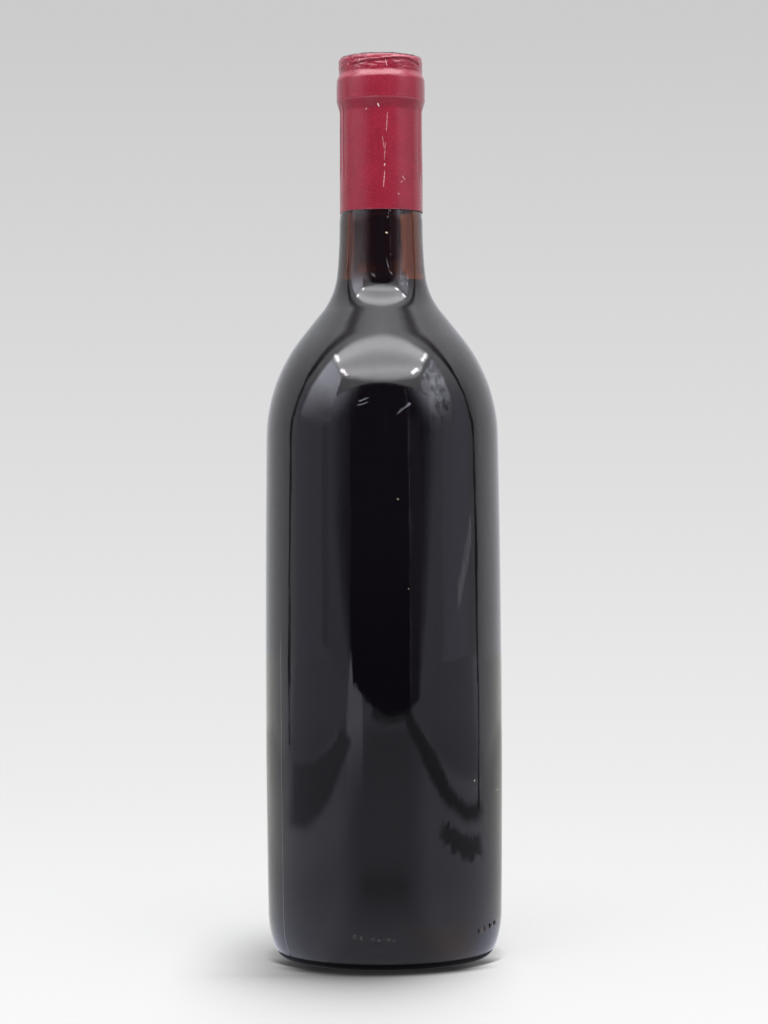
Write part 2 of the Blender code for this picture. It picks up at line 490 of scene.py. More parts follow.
def outerGlassPoints():
    # from the lip down the outside, round the heel and up into the punt
    f = glassForm
    turn = f["outerLipRound"]
    lip = arcPoints(f["bandRadius"] - turn, f["lipZ"] - turn, turn, math.pi / 2.0, 0.0, 6)
    finish = [
        (f["bandRadius"], 0.2864), (f["ringRadius"], 0.2832), (f["ringRadius"], 0.2779),
        (f["hiddenNeckRadius"] + 0.0002, 0.2750), (f["hiddenNeckRadius"], 0.2738),
        (f["hiddenNeckRadius"], f["capsuleEdgeZ"] + 0.0020),
        (f["hiddenNeckRadius"] + 0.00020, f["capsuleEdgeZ"] + 0.0004),
        (f["neckRadius"] - 0.00030, f["capsuleEdgeZ"] - 0.0002),
        (f["neckRadius"] - 0.00015, f["capsuleEdgeZ"] - 0.0017),
        (f["neckRadius"] - 0.00004, f["capsuleEdgeZ"] - 0.0029),
    ]
    shoulder = shoulderPoints(0.0, 0.0)[::-1]
    upper = easePoints(
        (f["bodyRadius"], f["bodyWidestZ"]), (f["shoulderRadius"], f["shoulderZ"]), True, 14,
    )[::-1]
    lower = easePoints(
        (f["heelTopRadius"], f["heelTopZ"]), (f["bodyRadius"], f["bodyWidestZ"]), False, 12,
    )[::-1]
    heel = quarterPoints(f["heelFootRadius"], f["heelTopRadius"], f["heelTopZ"], 0.0, 18)
    punt = domePoints(f["bearingInner"], 0.0, f["puntHeight"], 20)
    return lip + finish + shoulder + upper[1:] + lower[1:] + heel[1:] + punt


glassLook = {
    "tint": (0.94, 0.93, 0.87), "deepTint": (0.88, 0.87, 0.81),
    "absorbColour": (0.655, 0.35, 0.09), "absorbDensity": 600.0,
    "ior": 1.52, "roughness": 0.006, "waveDistance": 0.00013, "rippleDistance": 0.000028,
    "seamAngles": (-58.0, 122.0), "seamDistance": 0.00012,
    "dryMirror": (1.0, 1.0, 1.0), "wetMirror": (0.06, 0.06, 0.06),
}


def makeGlassMaterial():
    look = glassLook
    material, tree, shader, output = newMaterial("darkOliveGlass", {
        "Transmission Weight": 1.0, "IOR": look["ior"],
    })
    vector, x, y, z = objectAxes(tree)
    height, grain = useSurface(stretch(vector, (1.0, 1.0, 0.45)), 46.0, 240.0, 0.008)
    # drawn-down ripple of the blown wall, seen as faint upright lines
    ripple = noiseField(stretch(vector, (1.0, 1.0, 0.03)), 520.0, 3.0, 0.55)
    # mould seams: two thin upright ridges on opposite sides, lost towards the shoulder
    seams = None
    for angle in look["seamAngles"]:
        a = math.radians(angle)
        across = plus(times(x, math.cos(a)), times(y, math.sin(a)))
        towards = minus(times(x, math.sin(a)), times(y, math.cos(a)))
        near = fall(absolute(across), 0.0, 0.00035)
        ridge = times(near, ramp(towards, 0.0, 0.003))
        seams = ridge if seams is None else plus(seams, ridge)
    seams = times(seams, ramp(z, 0.095, 0.112, 1.0, 0.1))
    normal = addBump(height, look["waveDistance"])
    normal = addBump(ripple, look["rippleDistance"], 1.0, normal)
    normal = addBump(seams, look["seamDistance"], 1.0, normal)
    colour = blend(grain, look["tint"], look["deepTint"])
    rough = ramp(grain, 0.45, 0.8, look["roughness"], look["roughness"] + 0.03)
    dress(shader, colour, rough, normal)
    # where wine wets the inside, almost nothing is mirrored
    wet = addNode(tree, "ShaderNodeAttribute", attribute_name="wetWall")
    mirror = blend(wet.outputs["Fac"], look["dryMirror"], look["wetMirror"])
    feed(mirror, shader.inputs["Specular Tint"])
    addAbsorption(output, look)
    return material


nudges = (0.0, -0.000001, 0.000001)


def markWetWall(piece):
    # the inner face below the wine's rim carries its own value
    wetZ = wineForm["levelZ"] + wineForm["wetRise"]
    inner = {(round(r, 6), round(z, 6)) for r, z in innerGlassPoints() if z < wetZ}
    wet = piece.data.attributes.new("wetWall", "FLOAT", "POINT")
    for vertex in piece.data.vertices:
        r, z = math.hypot(vertex.co.x, vertex.co.y), vertex.co.z
        near = any((round(r + dr, 6), round(z + dz, 6)) in inner for dr in nudges for dz in nudges)
        wet.data[vertex.index].value = 1.0 if near else 0.0


def makeGlass():
    profile = innerGlassPoints()[::-1] + outerGlassPoints()[1:]
    piece = turnPiece("bottleGlass", profile, glassForm["columns"])
    markWetWall(piece)
    setMaterial(piece, makeGlassMaterial())
    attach(piece, "root")
    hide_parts("bottle_glass")
    return piece


# raised mould dots on the heel
# each dot: degrees round the front, height, radius
dotForm = {
    "flatness": 0.50,
    "places": (
        (-14.5, 0.0112, 0.00075), (-11.5, 0.0110, 0.00055), (-6.0, 0.0106, 0.00065),
        (-3.0, 0.0101, 0.00055), (1.5, 0.0102, 0.00075), (4.0, 0.0100, 0.00055),
        (53.0, 0.0108, 0.00110), (58.0, 0.0112, 0.00095), (63.0, 0.0117, 0.00110),
        (68.0, 0.0121, 0.00095),
    ),
}


def makeMouldDots(glassMaterial):
    f = glassForm
    rise, run = f["heelTopZ"], f["heelTopRadius"] - f["heelFootRadius"]
    dots = []
    deselectAll()
    for angle, z, radius in dotForm["places"]:
        a = math.acos(1.0 - z / rise)
        r = f["heelFootRadius"] + run * math.sin(a)
        lean = math.atan2(run * math.cos(a), rise * math.sin(a))
        turn = math.radians(angle)
        bpy.ops.mesh.primitive_uv_sphere_add(
            segments=20, ring_count=12, radius=radius,
            location=(r * math.sin(turn), -r * math.cos(turn), z),
            rotation=(math.radians(90.0) + lean, 0.0, turn), scale=(1.0, 1.0, dotForm["flatness"]),
        )
        dots.append(bpy.context.object)
    piece = joinPieces(dots, "mouldDots", glassMaterial)
    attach(piece, "root")
    return piece


# specks stuck to the glass
# each speck: degrees round the front, height, distance from the axis, half width
speckForm = (
    (7.6, 0.2337, 0.01359, 0.00040), (12.5, 0.2268, 0.01364, 0.00014),
    (7.2, 0.1480, 0.03798, 0.00030), (71.0, 0.0545, 0.03835, 0.00034),
    (48.0, 0.0588, 0.03837, 0.00026), (12.0, 0.1200, 0.03835, 0.00016),
)


def makeSpeckMaterial():
    material, tree, shader, output = newMaterial("paleSpeck", {"IOR": 1.45})
    vector, x, y, z = objectAxes(tree)
    height, grain = useSurface(vector, 1800.0, 6000.0, 0.4)
    colour = blend(ramp(height, 0.35, 0.75), (0.34, 0.26, 0.13), (0.62, 0.55, 0.38))
    dress(shader, colour, ramp(grain, 0.3, 0.8, 0.45, 0.75), addBump(height, 0.00006, 0.8))
    return material


def makeSpecks():
    specks = []
    deselectAll()
    for angle, z, r, half in speckForm:
        turn = math.radians(angle)
        bpy.ops.mesh.primitive_uv_sphere_add(
            segments=24, ring_count=14, radius=half,
            location=(r * math.sin(turn), -r * math.cos(turn), z),
            rotation=(math.radians(90.0), math.radians(angle * 3.0), turn), scale=(1.15, 0.62, 0.28),
        )
        specks.append(bpy.context.object)
    piece = joinPieces(specks, "paleSpecks", makeSpeckMaterial())
    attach(piece, "root")
    return piece


# the wine
wineForm = {
    "levelZ": 0.2180, "intoWall": 0.00012, "meniscusRise": 0.0009, "meniscusWidth": 0.0016,
    "wetRise": 0.0012,
    "columns": 128,
}
wineLook = {
    "tint": (0.80, 0.20, 0.16), "deepTint": (0.64, 0.16, 0.13),
    "absorbColour": (0.80, 0.02, 0.10), "absorbDensity": 900.0,
    "ior": 1.34, "roughness": 0.02,
    "wallMirror": (0.06, 0.06, 0.06), "topMirror": (1.0, 1.0, 1.0),
}


def winePoints():
    wall = [p for p in innerGlassPoints() if p[1] < glassForm["capsuleEdgeZ"]]
    moved = []
    for i, (r, z) in enumerate(wall):
        before = wall[max(i - 1, 0)]
        after = wall[min(i + 1, len(wall) - 1)]
        run = math.hypot(after[0] - before[0], after[1] - before[1])
        outR = -(after[1] - before[1]) / run
        outZ = (after[0] - before[0]) / run
        moved.append((
            0.0 if r < 0.00001 else r + outR * wineForm["intoWall"],
            z + outZ * wineForm["intoWall"],
        ))
    rimZ = wineForm["levelZ"] + wineForm["meniscusRise"]
    below = [p for p in moved if p[1] < rimZ]
    above = [p for p in moved if p[1] >= rimZ][-1]
    share = (rimZ - below[0][1]) / (above[1] - below[0][1])
    rimR = below[0][0] + (above[0] - below[0][0]) * share
    surface = [(0.0, wineForm["levelZ"])]
    for i in range(1, 13):
        r = rimR - wineForm["meniscusWidth"] * 2.5 * (1.0 - i / 12.0)
        climb = math.exp(-(rimR - r) / (wineForm["meniscusWidth"] * 0.45))
        surface.append((r, wineForm["levelZ"] + wineForm["meniscusRise"] * climb))
    surface[-1] = (rimR, rimZ)
    return surface + below


def makeWineMaterial():
    look = wineLook
    material, tree, shader, output = newMaterial("redWine", {
        "Transmission Weight": 1.0, "IOR": look["ior"],
    })
    vector, x, y, z = objectAxes(tree)
    height, grain = useSurface(vector, 30.0, 160.0, 0.1)
    colour = blend(height, look["deepTint"], look["tint"])
    dress(shader, colour, ramp(grain, 0.3, 0.8, look["roughness"], look["roughness"] + 0.04))
    # its side touches glass and mirrors little, its free top mirrors as water does
    free = ramp(z, wineForm["levelZ"] - 0.0006, wineForm["levelZ"] - 0.0002)
    feed(blend(free, look["wallMirror"], look["topMirror"]), shader.inputs["Specular Tint"])
    addAbsorption(output, look)
    return material


def makeWine():
    piece = turnPiece("redWineFill", winePoints(), wineForm["columns"])
    setMaterial(piece, makeWineMaterial())
    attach(piece, "root")
    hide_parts("wine")
    return piece


# the cork
corkForm = {"radius": 0.00922, "topZ": 0.2903, "lowZ": 0.2411, "chamfer": 0.0005, "columns": 96}
corkLook = {
    "light": (0.46, 0.29, 0.16), "dark": (0.20, 0.105, 0.05), "stain": (0.035, 0.008, 0.010),
    "stainLowZ": 0.2425, "stainHighZ": 0.2475,
}


def makeCorkMaterial():
    look = corkLook
    material, tree, shader, output = newMaterial("naturalCork")
    vector, x, y, z = objectAxes(tree)
    height, grain = useSurface(vector, 260.0, 1800.0, 0.3)
    pores = addNode(tree, "ShaderNodeTexVoronoi", {"Scale": 620.0, "Randomness": 1.0})
    feed(vector, pores.inputs["Vector"])
    hole = fall(pores.outputs["Distance"], 0.10, 0.30)
    pitted = blend(hole, blend(grain, look["dark"], look["light"]), look["dark"])
    soak = fall(z, look["stainLowZ"], look["stainHighZ"])
    colour = blend(soak, pitted, look["stain"])
    normal = addBump(minus(height, hole), 0.00015, 0.8)
    dress(shader, colour, ramp(grain, 0.3, 0.8, 0.72, 0.92), normal)
    return material


def makeCork():
    f = corkForm
    deselectAll()
    bpy.ops.mesh.primitive_cylinder_add(
        vertices=f["columns"], radius=f["radius"], depth=f["topZ"] - f["lowZ"],
        location=(0.0, 0.0, (f["topZ"] + f["lowZ"]) / 2.0),
    )
    piece = bpy.context.object
    piece.name = "corkStopper"
    bpy.ops.object.transform_apply(location=True, rotation=True, scale=True)
    bevel = piece.modifiers.new("chamfer", "BEVEL")
    bevel.width = f["chamfer"]
    bevel.segments = 3
    bevel.limit_method = "ANGLE"
    applyModifiers(piece)
    bpy.ops.object.shade_smooth_by_angle(angle=math.radians(35.0))
    setMaterial(piece, makeCorkMaterial())
    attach(piece, "root")
    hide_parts("cork")
    return piece


# the capsule
capsuleForm = {
    "topZ": 0.2920, "rimRound": 0.0012, "bandRadius": 0.01356, "bandLowZ": 0.2868,
    "ringRadius": 0.01438, "ringHighZ": 0.2840, "ringLowZ": 0.2776,
    "neckRadius": 0.01343, "neckHighZ": 0.2741,
    "edgeRadius": 0.01356, "edgeZ": 0.2414, "skin": 0.00013, "shiftX": 0.00015,
    "columns": 240,
}
capsuleLook = {
    # the pale colour of rubbed foil, also used for the painted highlights on the rim, shoulder and
    # ring's lower corner
    "crimson": (0.205, 0.0062, 0.0200), "deep": (0.165, 0.0045, 0.0150), "wornAndHighlit": (0.46, 0.14, 0.17),
    "bare": (0.78, 0.60, 0.58), "stain": (0.030, 0.010, 0.010),
    "roughness": 0.245, "ior": 1.5,
    # rim and ring's shoulder: rubbed wear with a painted highlight; ring's lower corner: a painted
    # highlight line; each from z, to z, softness, strength
    "wearAndHighlightZones": (
        (0.2906, 0.29125, 0.00022, 0.62), (0.2848, 0.2866, 0.0006, 0.22),
        (0.27725, 0.27765, 0.00018, 0.34),
    ),
}
# scratches: centre x and z, half length, half width, tilt, strength
capsuleMarks = (
    (-0.0006, 0.2748, 0.0007, 0.00022, -28.0, 1.0), (-0.0103, 0.2889, 0.0004, 0.00022, 20.0, 0.9),
    (-0.0045, 0.2737, 0.0003, 0.00018, 10.0, 0.6), (0.0013, 0.2556, 0.0005, 0.00020, 25.0, 1.0),
    (0.0021, 0.2694, 0.0036, 0.00011, 3.0, 0.50), (0.0009, 0.2628, 0.0022, 0.00011, -9.0, 0.45),
    (0.0014, 0.2600, 0.0034, 0.00010, 4.0, 0.35), (0.0011, 0.2510, 0.0030, 0.00012, 5.0, 0.60),
    (0.0074, 0.2516, 0.0009, 0.00012, -38.0, 0.55), (0.0068, 0.2503, 0.0006, 0.00012, 45.0, 0.45),
    (0.0058, 0.2463, 0.0003, 0.00018, 0.0, 0.60), (0.0020, 0.2884, 0.0012, 0.00014, -14.0, 0.55),
    (-0.0068, 0.2893, 0.0008, 0.00012, 35.0, 0.40),
)


# upright pleats: degrees round the front, height
capsulePleats = (
    (70.0, 0.00020), (-66.0, 0.00012), (-78.0, 0.00014), (131.0, 0.00016), (-142.0, 0.00014),
)
# how far each kind of crumple stands out or sinks in
crumple = {
    "folds": 0.00015, "crush": 0.00013, "fine": 0.00005, "ringGrain": 0.00003, "dents": 0.00006,
    "foldRise": 0.00020, "foldSink": 0.00017, "creaseAngle": 7.0, "creaseSink": 0.00007,
    "creaseRise": 0.00005, "pucker": 0.00020, "topSag": 0.00035, "raggedEdge": 0.00022,
}


def capsulePoints():
    f = capsuleForm
    top = [(0.0, f["topZ"])]
    flatR = f["bandRadius"] - f["rimRound"]
    for i in range(1, 17):
        top.append((flatR * i / 17.0, f["topZ"]))
    points = top + arcPoints(flatR, f["topZ"] - f["rimRound"], f["rimRound"], math.pi / 2.0, 0.0, 9)
    rise, drop = f["ringRadius"] - f["bandRadius"], f["ringRadius"] - f["neckRadius"]
    points += stepPoints(f["topZ"] - f["rimRound"], f["bandLowZ"], 22, lambda t: f["bandRadius"])
    points += stepPoints(
        f["bandLowZ"], f["ringHighZ"], 12, lambda t: f["bandRadius"] + rise * smoothStep(0.0, 1.0, t),
    )
    points += stepPoints(
        f["ringHighZ"], f["ringLowZ"], 14,
        lambda t: f["ringRadius"] + (0.00005 * math.sin(math.pi * t) + 0.00006 * bell(t, 0.98, 0.10)),
    )
    points += stepPoints(
        f["ringLowZ"], f["neckHighZ"], 14,
        lambda t: f["ringRadius"] - drop * (0.6 * t + 0.4 * smoothStep(0.0, 1.0, t)),
    )
    flare = f["edgeRadius"] - f["neckRadius"]
    points += stepPoints(f["neckHighZ"], f["edgeZ"], 80, lambda t: f["neckRadius"] + flare * t)
    return points


def foldHeight(angle):
    # height of the long fold in the crimped band, by angle round the front
    if angle < 35.0:
        return 0.28905 + 0.00165 * (angle + 39.0) / 74.0
    return 0.2907 - 0.0012 * (angle - 35.0) / 27.0


def ringNoise(angle, z, around, up, offset=(0.0, 0.0, 0.0)):
    # noise that closes on itself round the axis
    turn = math.radians(angle)
    place = Vector((math.cos(turn) * around, math.sin(turn) * around, z * up))
    return noise.noise(place + Vector(offset))


def capsuleRelief(co):
    # how far a point of the sleeve stands out: crimped band, fold, pleats, crease and soft dents
    c = crumple
    angle = frontAngle(co)
    z = co.z
    crimp = smoothStep(0.2855, 0.2875, z)
    folds = ringNoise(angle, z, 5.5, 900.0)
    crush = ringNoise(angle, z, 12.0, 1500.0, (7.1, 3.3, 1.7))
    fine = ringNoise(angle, z, 30.0, 2400.0, (2.1, 5.3, 0.7))
    out = crimp * (c["folds"] * folds + c["crush"] * crush + c["fine"] * fine)
    out += c["ringGrain"] * fine * smoothStep(0.2750, 0.2770, z)
    reach = smoothStep(-52.0, -38.0, angle) * (1.0 - smoothStep(58.0, 70.0, angle))
    rise = z - foldHeight(angle) - 0.00010 * folds
    lip, groove = bell(rise, 0.0, 0.00028), bell(rise, -0.00065, 0.00042)
    out += crimp * reach * (c["foldRise"] * lip - c["foldSink"] * groove)
    out += c["dents"] * ringNoise(angle, z, 3.0, 120.0, (1.3, 9.2, 4.4))
    wander = 1.3 * noise.noise(Vector((z * 160.0, 0.0, 0.0)))
    length = smoothStep(0.2440, 0.2490, z) * (1.0 - smoothStep(0.2730, 0.2755, z))
    out -= c["creaseSink"] * bell(angle, c["creaseAngle"] + wander, 1.6) * length
    out += c["creaseRise"] * bell(angle, c["creaseAngle"] + 3.5 + wander, 2.2) * length
    tall = smoothStep(0.2490, 0.2560, z) * (1.0 - smoothStep(0.2745, 0.2770, z))
    for centre, height in capsulePleats:
        bend = centre + 2.0 * noise.noise(Vector((z * 120.0, centre, 0.0)))
        out += height * tall * (bell(angle, bend, 2.2) - 0.8 * bell(angle, bend + 4.2, 2.0))
    return out


def shapeCapsule(piece):
    f = capsuleForm
    for vertex in piece.data.vertices:
        co = vertex.co
        reach = math.hypot(co.x, co.y)
        angle = math.radians(frontAngle(co))
        if reach > 0.0005:
            out = capsuleRelief(co) * smoothStep(0.004, 0.012, reach)
            co.x += co.x / reach * out
            co.y += co.y / reach * out
        # the top disc sags inside its rim and puckers
        sag = 1.0 - smoothStep(0.0098, 0.0124, reach)
        onTop = smoothStep(f["topZ"] - 0.0030, f["topZ"] - 0.0002, co.z)
        pucker = crumple["pucker"] * noise.noise(Vector((co.x * 420.0, co.y * 420.0, 0.0)))
        co.z += onTop * (pucker - crumple["topSag"] * sag)
        # uneven cut at the lower edge
        atEdge = 1.0 - smoothStep(f["edgeZ"], f["edgeZ"] + 0.004, co.z)
        ragged = noise.noise(Vector((math.cos(angle) * 2.2, math.sin(angle) * 2.2, 5.0)))
        co.z += atEdge * crumple["raggedEdge"] * ragged
        co.x += f["shiftX"]


def makeCapsuleMaterial():
    look, f = capsuleLook, capsuleForm
    material, tree, shader, output = newMaterial("crimsonFoil", {"IOR": look["ior"]})
    vector, x, y, z = objectAxes(tree)
    height, grain = useSurface(vector, 330.0, 2600.0, 0.35)
    patch = noiseField(vector, 150.0, 5.0, 0.62)
    streak = noiseField(stretch(vector, (1.0, 1.0, 0.16)), 1300.0, 3.0, 0.6)
    blotch = times(ramp(patch, 0.35, 0.68), ramp(streak, 0.30, 0.65, 0.35, 1.0))
    base = blend(blotch, look["crimson"], look["deep"])
    # paler on the rim and a little on the ring's shoulder, rubbed wear with a painted highlight; a
    # painted highlight line on the ring's lower corner; rubbed paler along the cut edge
    rim, shoulder, corner = (times(window(z, *zone[:3]), zone[3]) for zone in look["wearAndHighlightZones"])
    atEdge = ramp(z, f["edgeZ"] + 0.0001, f["edgeZ"] + 0.0004, 0.35, 0.0)
    foot = times(atEdge, ramp(patch, 0.40, 0.56))
    rubbedAndHighlit = plus(rim, shoulder, plus(foot, corner))
    broken = ramp(patch, 0.30, 0.62, 0.25, 1.0)
    nick = ramp(noiseField(vector, 900.0, 6.0, 0.7), 0.66, 0.74, 0.0, 0.75)
    gather = ramp(rubbedAndHighlit, 0.0, 0.4, 0.04, 1.0)
    # this pale mask holds real rubbing and nicks together with the painted highlights of the rim,
    # shoulder and lower corner
    paleWearAndHighlight = plus(times(rubbedAndHighlit, broken), times(nick, gather))
    colour = blend(paleWearAndHighlight, base, look["wornAndHighlit"])
    # small pale nicks and scratches on the front
    front = fall(y, -0.002, 0.0)
    marks = times(useMarks(x, z, capsuleMarks), front)
    flaked = times(marks, ramp(noiseField(vector, 1700.0, 3.0), 0.36, 0.52, 0.15, 1.0))
    colour = blend(flaked, colour, look["bare"])
    # dark line where the top disc meets the skirt
    seam = times(ramp(z, 0.29128, 0.29150), ramp(lengthOf(x, y), 0.0118, 0.0122))
    seam = times(seam, ramp(patch, 0.30, 0.42, 0.45, 1.0))
    feed(blend(seam, colour, look["stain"]), shader.inputs["Base Color"])
    rough = ramp(grain, 0.3, 0.75, look["roughness"] - 0.04, look["roughness"] + 0.06)
    rough = plus(rough, times(paleWearAndHighlight, 0.18))
    feed(rough, shader.inputs["Roughness"])
    feed(addBump(plus(height, times(streak, 0.25)), 0.00006, 0.6),
                   shader.inputs["Normal"])
    return material


def makeCapsule():
    piece = turnPiece("crimsonCapsule", capsulePoints(), capsuleForm["columns"])
    shapeCapsule(piece)
    wall = piece.modifiers.new("skin", "SOLIDIFY")
    wall.thickness = capsuleForm["skin"]
    wall.offset = -1.0
    applyModifiers(piece)
    setMaterial(piece, makeCapsuleMaterial())
    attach(piece, "root")
    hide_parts("capsule")
    return piece


# the studio
studio = {
    "cameraX": 0.00042, "cameraY": -0.874, "cameraZ": 0.1440, "lens": 94.2, "roll": 0.345,
    "floorGrey": 0.40, "floorReach": 1.9, "floorShare": 0.33,
    "floorTints": ((0.985, 0.982, 0.945), (1.015, 1.012, 0.975)),
    # how bright the backdrop and the room are, from low to high
    "backdrop": ((0.05, 0.930), (0.5, 0.748), (0.95, 0.600)),
    "room": ((0.0, 0.88), (0.34, 0.95), (0.50, 1.12), (0.64, 1.42), (0.77, 1.6), (1.0, 2.6)),
    "keyRadiance": 6.6,
}


def makeWorld():
    world = bpy.data.worlds.new("studioRoom")
    bpy.context.scene.world = world
    world.use_nodes = True
    tree = world.node_tree
    tree.nodes.clear()
    output = addNode(tree, "ShaderNodeOutputWorld")
    coords = addNode(tree, "ShaderNodeTexCoord")
    split = addNode(tree, "ShaderNodeSeparateXYZ")
    feed(coords.outputs["Generated"], split.inputs["Vector"])
    x, y, z = split.outputs["X"], split.outputs["Y"], split.outputs["Z"]
    # what the camera sees behind the bottle: a pale sweep that darkens upwards
    span = addNode(tree, "ShaderNodeMapRange", {"From Min": -0.20, "From Max": 0.20})
    feed(z, span.inputs["Value"])
    sweep = addNode(tree, "ShaderNodeBackground")
    feed(greyRamp(span.outputs["Result"], studio["backdrop"]), sweep.inputs["Color"])
    # what lights the bottle and shows in its glass: an even room, brighter overhead
    grey = greyRamp(z, studio["room"])
    ahead = times(fall(y, 0.0, 0.24), fall(z, 0.3, 0.6))
    tint = blend(ahead, (0.99, 1.00, 1.06), (0.77, 0.77, 0.95))
    room = addNode(tree, "ShaderNodeBackground")
    feed(blend(1.0, grey, tint, "MULTIPLY"), room.inputs["Color"])
    # a dimmer gap to the right
    gap = times(hump(y, 0.17, 0.15), ramp(x, 0.3, 0.6))
    gap = scaleAdd(times(gap, fall(z, 0.25, 0.6)), -0.34, 1.0)
    sideways = plus(times(x, 0.09), 0.99)
    feed(times(sideways, gap), room.inputs["Strength"])
    path = addNode(tree, "ShaderNodeLightPath")
    through = times(path.outputs["Is Transmission Ray"], ramp(y, 0.25, 0.40))
    direct = calc("MAXIMUM", path.outputs["Is Camera Ray"], through)
    seen = mixShaders(direct, room.outputs["Background"], sweep.outputs["Background"])
    feed(seen, output.inputs["Surface"])


# shade on the floor: each run has two distances from the axis, the strength at both, and its way round
contact = {
    "leanX": 0.008, "rightWidth": 0.053, "leftWidth": 0.064,
    "broadStart": 0.0494, "broadLength": 0.036, "broadShare": 0.70, "broadLimit": 0.90,
    "front": ((0.0392, 0.0465, 0.95, 0.0), (0.50, 0.85)),
    "tight": ((0.0376, 0.0399, 0.80, 0.0), (0.15, 0.55)),
    "around": (0.0350, 0.0405, 0.20, 0.0), "least": 0.025,
}


def contactShade(x, y):
    # how much light is left: a broad shade in front that leans left, and a tight one at the heel
    c = contact
    aside = plus(x, c["leanX"])
    width = blendValue(ramp(aside, -0.001, 0.001), c["leftWidth"], c["rightWidth"])
    across = fall(over(absolute(aside), width), 0.0, 1.0)
    forward = calc("EXPONENT", over(plus(y, c["broadStart"]), c["broadLength"]))
    forward = calc("MINIMUM", times(forward, c["broadShare"]), c["broadLimit"])
    forward = times(forward, fall(y, -0.02, 0.09))
    reach = lengthOf(x, y)
    facing = over(times(y, -1.0), reach)
    front, tight = (
        times(ramp(reach, *near), ramp(facing, *turned))
        for near, turned in (c["front"], c["tight"])
    )
    around = ramp(reach, *c["around"])
    shades = (times(forward, across), front, around, tight)
    left = times(*(restOf(shade) for shade in shades))
    return scaleAdd(left, 1.0 - c["least"], c["least"])


def slantBand(value, centre, half, soft):
    # one within a band whose middle and half width may both vary
    away = over(minus(absolute(minus(value, centre)), half), soft)
    return fall(away, -1.0, 1.0)


# how bright each part of the table is in the glass
tableLevels = {
    "leftBand": 0.38, "rightBand": 0.26, "spot": 0.33, "dark": 0.08, "frame": 0.14, "walls": 0.86,
}


def mirroredTable(vector, x, y):
    # the table top as the glass mirrors it: a pale sheet, darker wood, then the tent walls
    reach = lengthOf(x, y)
    facing = over(times(y, -1.0), reach)
    sheet = plus(ramp(facing, 0.72, 0.96, 0.86, 0.56), ramp(facing, -1.0, 0.2, -0.02, 0.0))
    sheet = plus(sheet, ramp(reach, 0.05, 0.22, 0.20, 0.0))
    patch = times(hump(reach, 0.205, 0.05), ramp(facing, 0.90, 0.97, 0.0, 0.28))
    # close to the heel the mirrored sheet is dimmed: painted shade at the bottle's foot
    sheet = times(sheet, ramp(reach, 0.0357, 0.0369, 0.08, 0.95), ramp(reach, 0.35, 0.75, 1.0, 0.88),
        restOf(patch),
    )
    torn = minus(noiseField(stretch(vector, (5.0, 42.0, 1.0)), 1.0, 5.0, 0.62), 0.5)
    broad = minus(noiseField(stretch(vector, (2.0, 6.0, 1.0)), 1.6, 3.0, 0.5), 0.5)
    # wood to both sides, with torn edges
    tx = plus(x, plus(times(torn, 0.07), times(broad, 0.03)))
    leftHalf = ramp(y, -0.60, -0.10, 0.095, 0.150)
    leftBand = times(slantBand(tx, -0.525, leftHalf, 0.03), fall(y, 0.02, 0.16), ramp(y, -0.78, -0.69),
    )
    rightMiddle = scaleAdd(hump(y, -0.50, 0.26), 0.07, 0.432)
    rightHalf = ramp(y, -0.45, -0.10, 0.080, 0.035)
    rightBand = times(slantBand(tx, rightMiddle, rightHalf, 0.025), fall(y, 0.06, 0.18))
    # a torn spot close to the bottle's right side
    wide = scaleAdd(torn, 0.12, x)
    spot = times(window(wide, 0.272, 0.345, 0.010), window(y, -0.22, 0.07, 0.03))
    # beyond the table the mirrored tent walls, and the dark middle of the flag continued
    beyond = calc("MAXIMUM", ramp(absolute(plus(x, 0.03)), 0.58, 0.68), ramp(reach, 0.86, 1.0),
    )
    farther = ramp(reach, 0.75, 1.1, 0.54, 0.60)
    beyondLevel = blendValue(ramp(y, 0.05, 0.35), farther, tableLevels["walls"])
    ty = scaleAdd(torn, 0.16, y)
    dark = times(ramp(ty, -1.055, -0.985, 0.65, 0.12), window(x, -0.22, 0.52, 0.05))
    # a bright upright streak on the left
    slope = over(x, calc("MINIMUM", y, -0.01))
    streak = times(window(slope, 0.37, 0.70, 0.02), ramp(reach, 0.42, 1.0, 0.0, 0.55),
        fall(y, -0.2, -0.1), ramp(torn, -0.2, 0.1, 0.7, 1.05),
    )
    # the tent's frame runs on towards the bottle as two thin lines
    away = absolute(x)
    ahead = minus(scaleAdd(away, 0.264, -0.0311), y)
    line = over(absolute(ahead), times(away, 0.017))
    shownFrom = ramp(x, -0.1, 0.1, 0.78, 0.43)
    frameLine = times(fall(line, 0.5, 1.2), calc("GREATER_THAN", away, shownFrom))
    level = plus(blendValue(beyond, sheet, beyondLevel), streak)
    for mask, part in (
        (leftBand, "leftBand"), (rightBand, "rightBand"), (spot, "spot"), (dark, "dark"),
        (frameLine, "frame"),
    ):
        level = blendValue(mask, level, tableLevels[part])
    return level, ramp(facing, -0.9, 0.0)


